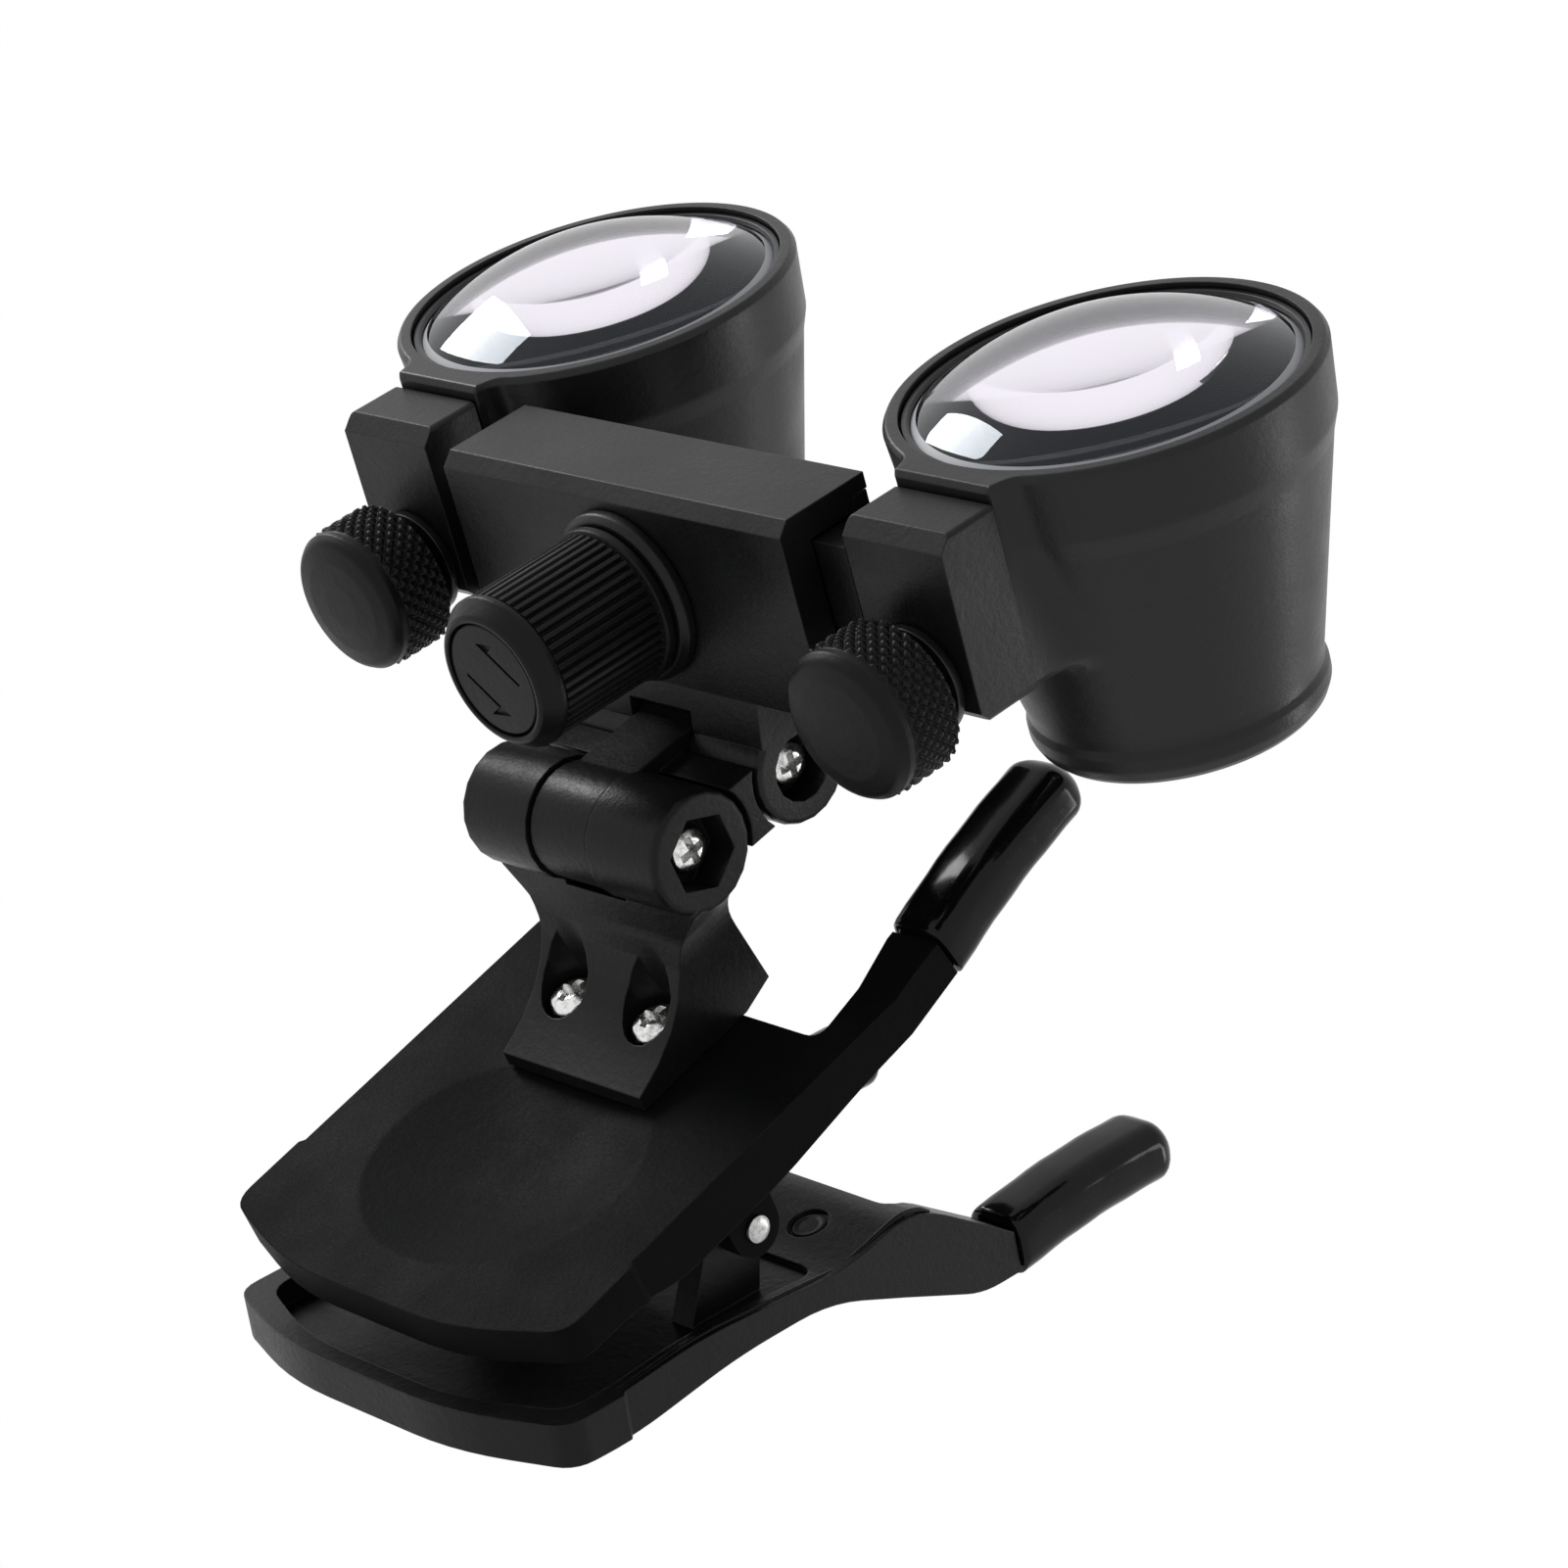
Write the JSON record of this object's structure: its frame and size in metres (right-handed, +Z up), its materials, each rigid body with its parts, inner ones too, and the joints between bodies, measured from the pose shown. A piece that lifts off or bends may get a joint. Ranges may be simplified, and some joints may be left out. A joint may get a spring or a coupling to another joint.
{
  "type": "clip-on binocular loupe",
  "caption": "Clip-on binocular loupe: spring clip for spectacles, double flip-up hinge, rack-adjusted lens barrels with a centre knob and swivel clamp screws.",
  "frame": {"origin": "the lens grip: on the plane of symmetry, midway between the middles of the flat gripping faces of the two front sleeves", "axes": "+Y forward, the way the wearer looks; +X to the wearer's right; +Z up as worn, from the barrels to the tails of the clip"},
  "size_m": [0.0982, 0.078, 0.1026],
  "materials": {
    "moulded_plastic": "fine-grained matt black moulding",
    "housing_plastic": "fine-grained satin black moulding",
    "barrel_plastic": "satin black moulding, turned",
    "grip_sleeve": "glossy black soft vinyl",
    "chrome_screw": "bright plated",
    "steel": "plain drawn steel",
    "brass": "turned",
    "ring_metal": "black anodised",
    "lens_glass": "polished and coated"
  },
  "bodies": {
    "front_jaw": {"front_clip_plate": "moulded_plastic", "left_front_sleeve": "grip_sleeve", "right_front_sleeve": "grip_sleeve", "clip_pin": "steel", "clip_spring": "steel", "hinge_bracket": "moulded_plastic", "left_bracket_screw": "chrome_screw", "right_bracket_screw": "chrome_screw", "lower_hinge_screw": "chrome_screw", "lower_hinge_nut": "chrome_screw"},
    "rear_jaw": {"rear_clip_plate": "moulded_plastic", "left_rear_sleeve": "grip_sleeve", "right_rear_sleeve": "grip_sleeve"},
    "link": {"link_arm": "moulded_plastic"},
    "head": {"housing": "housing_plastic", "housing_cover": "housing_plastic", "left_cover_screw": "steel", "right_cover_screw": "steel", "upper_hinge_screw": "chrome_screw", "upper_hinge_nut": "chrome_screw", "knob_bush": "housing_plastic"},
    "knob": {"centre_knob": "housing_plastic", "knob_cap": "moulded_plastic", "pinion_shaft": "brass", "pinion_washer": "steel"},
    "right_slide_body": {"right_slider": "moulded_plastic", "right_thumb_washer": "ring_metal"},
    "left_slide_body": {"left_slider": "moulded_plastic", "left_thumb_washer": "ring_metal"},
    "right_thumb": {"right_thumb_screw": "housing_plastic"},
    "left_thumb": {"left_thumb_screw": "housing_plastic"},
    "right_barrel": {"right_barrel_shell": "barrel_plastic", "right_objective_lens": "lens_glass", "right_retaining_ring": "ring_metal", "right_eyepiece_lens": "lens_glass", "right_eyepiece_ring": "ring_metal"},
    "left_barrel": {"left_barrel_shell": "barrel_plastic", "left_objective_lens": "lens_glass", "left_retaining_ring": "ring_metal", "left_eyepiece_lens": "lens_glass", "left_eyepiece_ring": "ring_metal"}
  },
  "joints": [
    {"name": "jaw_hinge", "type": "hinge", "parent": "front_jaw", "child": "rear_jaw", "pos_m": [0, -0.00621, 0.03679], "axis": [1, 0, 0], "range_deg": [-8, 38], "deforming": ["clip_spring"]},
    {"name": "lower_hinge", "type": "hinge", "parent": "front_jaw", "child": "link", "pos_m": [0, 0.01929, 0.02179], "axis": [1, 0, 0], "range_deg": [-3, 85]},
    {"name": "upper_hinge", "type": "hinge", "parent": "link", "child": "head", "pos_m": [0, 0.01874, 0.0097], "axis": [1, 0, 0], "range_deg": [-3, 20]},
    {"name": "right_slide", "type": "slide", "parent": "head", "child": "right_slide_body", "axis": [1, 0, 0], "range_m": [-0.003, 0.005]},
    {"name": "left_slide", "type": "slide", "parent": "head", "child": "left_slide_body", "axis": [1, 0, 0], "range_m": [-0.005, 0.003]},
    {"name": "knob_turn", "type": "hinge", "parent": "head", "child": "knob", "pos_m": [0, 0.03392, 0.00705], "axis": [0, 0.1719, 0.9851], "range_deg": [-96, 58]},
    {"name": "right_thumb_turn", "type": "hinge", "parent": "right_slide_body", "child": "right_thumb", "pos_m": [0.031, 0.03086, 0.00759], "axis": [0, 0.1719, 0.9851], "range_deg": [0, 270]},
    {"name": "left_thumb_turn", "type": "hinge", "parent": "left_slide_body", "child": "left_thumb", "pos_m": [-0.031, 0.03086, 0.00759], "axis": [0, 0.1719, 0.9851], "range_deg": [0, 270]},
    {"name": "right_swivel", "type": "hinge", "parent": "right_slide_body", "child": "right_barrel", "pos_m": [0.031, 0.03086, 0.00759], "axis": [0, -0.1719, -0.9851], "range_deg": [-6, 6]},
    {"name": "left_swivel", "type": "hinge", "parent": "left_slide_body", "child": "left_barrel", "pos_m": [-0.031, 0.03086, 0.00759], "axis": [0, 0.1719, 0.9851], "range_deg": [-6, 6]}
  ],
  "couplings": [
    {"joint": "left_slide", "follows": "right_slide", "ratio": -1},
    {"joint": "knob_turn", "follows": "right_slide", "rad_per_m": -333.33}
  ]
}
